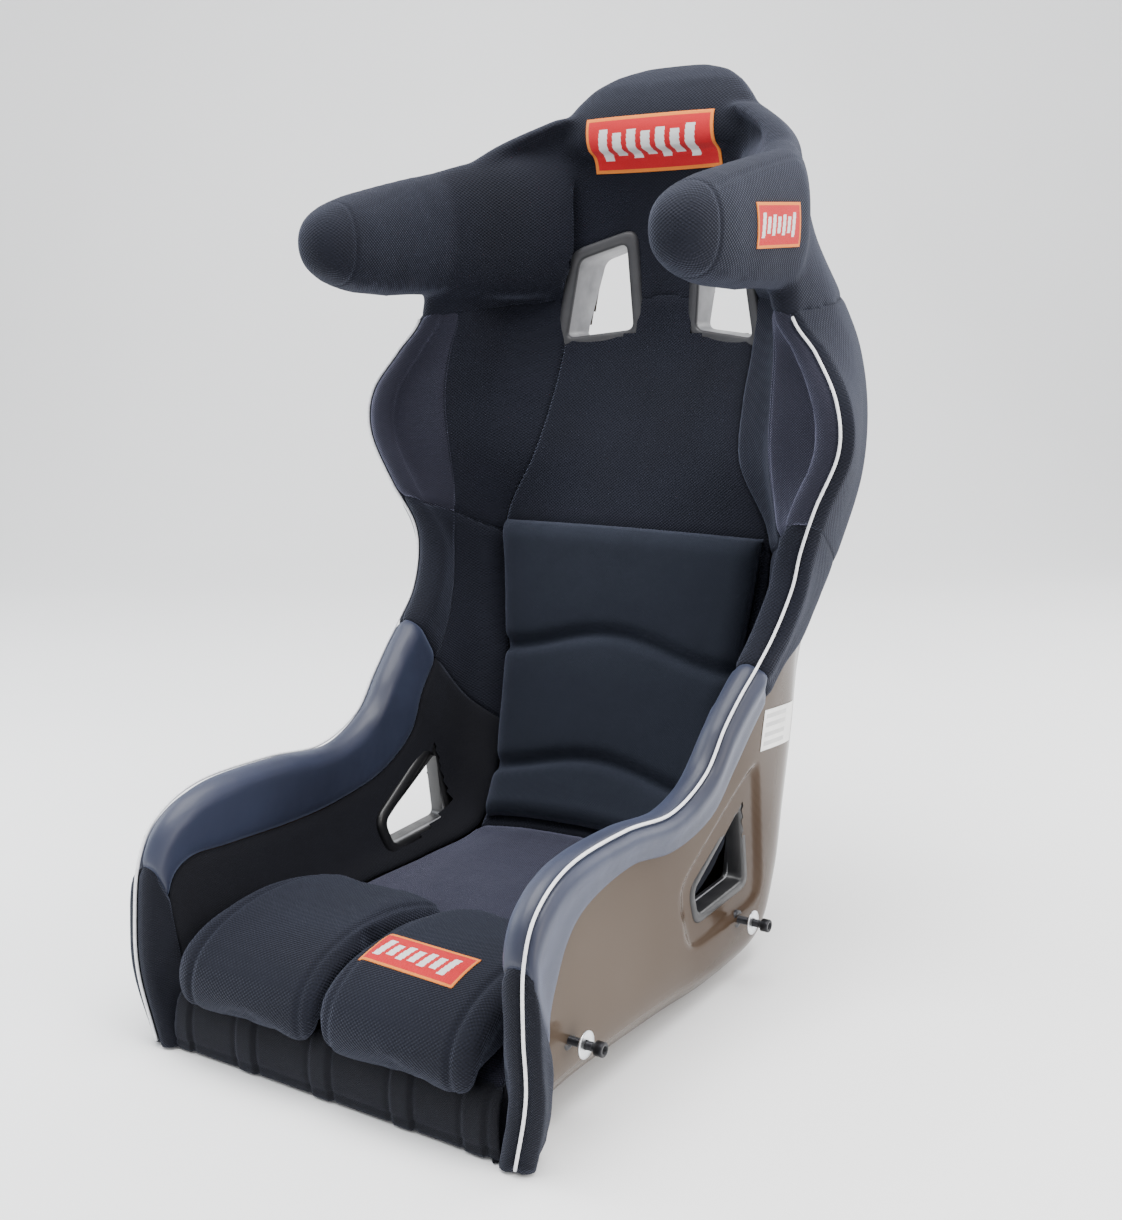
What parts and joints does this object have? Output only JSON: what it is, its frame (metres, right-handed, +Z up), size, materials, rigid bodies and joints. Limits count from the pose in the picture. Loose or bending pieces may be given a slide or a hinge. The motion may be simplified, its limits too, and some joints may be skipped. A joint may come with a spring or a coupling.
{
  "type": "racing seat",
  "caption": "Deep bucket racing seat with side head wings, shoulder and leg bolsters, belt slots, loose cushions and side mounts.",
  "frame": {"origin": "on the floor the seat stands on, in the mirror plane, midway between the foremost and rearmost points", "axes": "+Z up; -Y is the way the driver faces; +X is the side of the seat at the driver's left hand; the seat mirrors in X"},
  "size_m": [0.584, 0.69, 0.93],
  "materials": {
    "seat_shell": "high-gloss black gelcoat over composite",
    "front_post_pad_right": "navy-black air mesh",
    "front_post_pad_left": "navy-black air mesh",
    "thigh_bolster_right": "smooth blue-grey vinyl",
    "thigh_bolster_left": "smooth blue-grey vinyl",
    "torso_bolster_right": "navy-black air mesh",
    "torso_bolster_left": "navy-black air mesh",
    "shoulder_pad_right": "charcoal velour",
    "shoulder_pad_left": "charcoal velour",
    "side_liner_right": "navy-black air mesh",
    "side_liner_left": "navy-black air mesh",
    "front_apron": "dark webbed fabric",
    "seat_base_pad": "charcoal velour",
    "lumbar_foam": "open-cell foam",
    "upper_back_pad": "navy-black air mesh",
    "head_pad": "navy-black air mesh",
    "head_wing_pad_right": "navy-black air mesh",
    "head_wing_pad_left": "navy-black air mesh",
    "back_cushion": "dark slate knit, quilted",
    "thigh_cushion_right": "navy-black air mesh",
    "thigh_cushion_left": "navy-black air mesh",
    "piping_right": "white piping cord",
    "piping_left": "white piping cord",
    "shoulder_slot_bezel_right": "dark grey moulded plastic",
    "shoulder_slot_bezel_left": "dark grey moulded plastic",
    "lap_slot_bezel_right": "black moulded plastic",
    "lap_slot_bezel_left": "black moulded plastic",
    "crotch_slot_bezel": "black moulded plastic",
    "mount_plate_right": "plain steel strip",
    "mount_plate_left": "plain steel strip",
    "threaded_insert_rear_right": "black steel",
    "threaded_insert_rear_left": "black steel",
    "threaded_insert_front_right": "black steel",
    "threaded_insert_front_left": "black steel",
    "washer_rear_right": "bright zinc",
    "washer_rear_left": "bright zinc",
    "washer_front_right": "bright zinc",
    "washer_front_left": "bright zinc",
    "mount_bolt_rear_right": "black steel",
    "mount_bolt_rear_left": "black steel",
    "mount_bolt_front_right": "black steel",
    "mount_bolt_front_left": "black steel",
    "approval_label": "blank white film",
    "crown_patch": "red woven patch with an orange edge",
    "wing_patch_right": "red woven patch with an orange edge",
    "wing_patch_left": "red woven patch with an orange edge",
    "cushion_patch": "red woven patch with an orange edge"
  },
  "bodies": {
    "seat": {"seat_shell": "seat_shell", "front_post_pad_right": "front_post_pad_right", "front_post_pad_left": "front_post_pad_left", "thigh_bolster_right": "thigh_bolster_right", "thigh_bolster_left": "thigh_bolster_left", "torso_bolster_right": "torso_bolster_right", "torso_bolster_left": "torso_bolster_left", "shoulder_pad_right": "shoulder_pad_right", "shoulder_pad_left": "shoulder_pad_left", "side_liner_right": "side_liner_right", "side_liner_left": "side_liner_left", "front_apron": "front_apron", "seat_base_pad": "seat_base_pad", "lumbar_foam": "lumbar_foam", "upper_back_pad": "upper_back_pad", "head_pad": "head_pad", "head_wing_pad_right": "head_wing_pad_right", "head_wing_pad_left": "head_wing_pad_left", "piping_right": "piping_right", "piping_left": "piping_left", "shoulder_slot_bezel_right": "shoulder_slot_bezel_right", "shoulder_slot_bezel_left": "shoulder_slot_bezel_left", "lap_slot_bezel_right": "lap_slot_bezel_right", "lap_slot_bezel_left": "lap_slot_bezel_left", "crotch_slot_bezel": "crotch_slot_bezel", "mount_plate_right": "mount_plate_right", "mount_plate_left": "mount_plate_left", "threaded_insert_rear_right": "threaded_insert_rear_right", "threaded_insert_rear_left": "threaded_insert_rear_left", "threaded_insert_front_right": "threaded_insert_front_right", "threaded_insert_front_left": "threaded_insert_front_left", "approval_label": "approval_label", "crown_patch": "crown_patch", "wing_patch_right": "wing_patch_right", "wing_patch_left": "wing_patch_left"},
    "thigh_cushion_right": {"thigh_cushion_right": "thigh_cushion_right", "cushion_patch": "cushion_patch"},
    "thigh_cushion_left": {"thigh_cushion_left": "thigh_cushion_left"},
    "back_cushion": {"back_cushion": "back_cushion"},
    "mount_bolt_rear_right": {"mount_bolt_rear_right": "mount_bolt_rear_right"},
    "washer_rear_right": {"washer_rear_right": "washer_rear_right"},
    "mount_bolt_rear_left": {"mount_bolt_rear_left": "mount_bolt_rear_left"},
    "washer_rear_left": {"washer_rear_left": "washer_rear_left"},
    "mount_bolt_front_right": {"mount_bolt_front_right": "mount_bolt_front_right"},
    "washer_front_right": {"washer_front_right": "washer_front_right"},
    "mount_bolt_front_left": {"mount_bolt_front_left": "mount_bolt_front_left"},
    "washer_front_left": {"washer_front_left": "washer_front_left"}
  },
  "joints": [
    {"name": "thigh_cushion_right_lift", "type": "slide", "parent": "seat", "child": "thigh_cushion_right", "axis": [0, 0, 1], "range_m": [0, 0.12]},
    {"name": "thigh_cushion_left_lift", "type": "slide", "parent": "seat", "child": "thigh_cushion_left", "axis": [0, 0, 1], "range_m": [0, 0.12]},
    {"name": "back_cushion_lift", "type": "slide", "parent": "seat", "child": "back_cushion", "axis": [0, -0.9701, 0.2425], "range_m": [0, 0.06]},
    {"name": "mount_bolt_rear_right_slide", "type": "slide", "parent": "seat", "child": "mount_bolt_rear_right", "axis": [-1, 0, 0], "range_m": [-0.006, 0.0235]},
    {"name": "washer_rear_right_slide", "type": "slide", "parent": "seat", "child": "washer_rear_right", "axis": [-1, 0, 0], "range_m": [-0.004, 0.0145]},
    {"name": "mount_bolt_rear_left_slide", "type": "slide", "parent": "seat", "child": "mount_bolt_rear_left", "axis": [1, 0, 0], "range_m": [-0.006, 0.0235]},
    {"name": "washer_rear_left_slide", "type": "slide", "parent": "seat", "child": "washer_rear_left", "axis": [1, 0, 0], "range_m": [-0.004, 0.0145]},
    {"name": "mount_bolt_front_right_slide", "type": "slide", "parent": "seat", "child": "mount_bolt_front_right", "axis": [-1, 0, 0], "range_m": [-0.006, 0.0235]},
    {"name": "washer_front_right_slide", "type": "slide", "parent": "seat", "child": "washer_front_right", "axis": [-1, 0, 0], "range_m": [-0.004, 0.0145]},
    {"name": "mount_bolt_front_left_slide", "type": "slide", "parent": "seat", "child": "mount_bolt_front_left", "axis": [1, 0, 0], "range_m": [-0.006, 0.0235]},
    {"name": "washer_front_left_slide", "type": "slide", "parent": "seat", "child": "washer_front_left", "axis": [1, 0, 0], "range_m": [-0.004, 0.0145]}
  ],
  "couplings": [
    {"joint": "washer_rear_right_slide", "follows": "mount_bolt_rear_right_slide", "ratio": 0.61},
    {"joint": "washer_rear_left_slide", "follows": "mount_bolt_rear_left_slide", "ratio": 0.61},
    {"joint": "washer_front_right_slide", "follows": "mount_bolt_front_right_slide", "ratio": 0.61},
    {"joint": "washer_front_left_slide", "follows": "mount_bolt_front_left_slide", "ratio": 0.61}
  ]
}
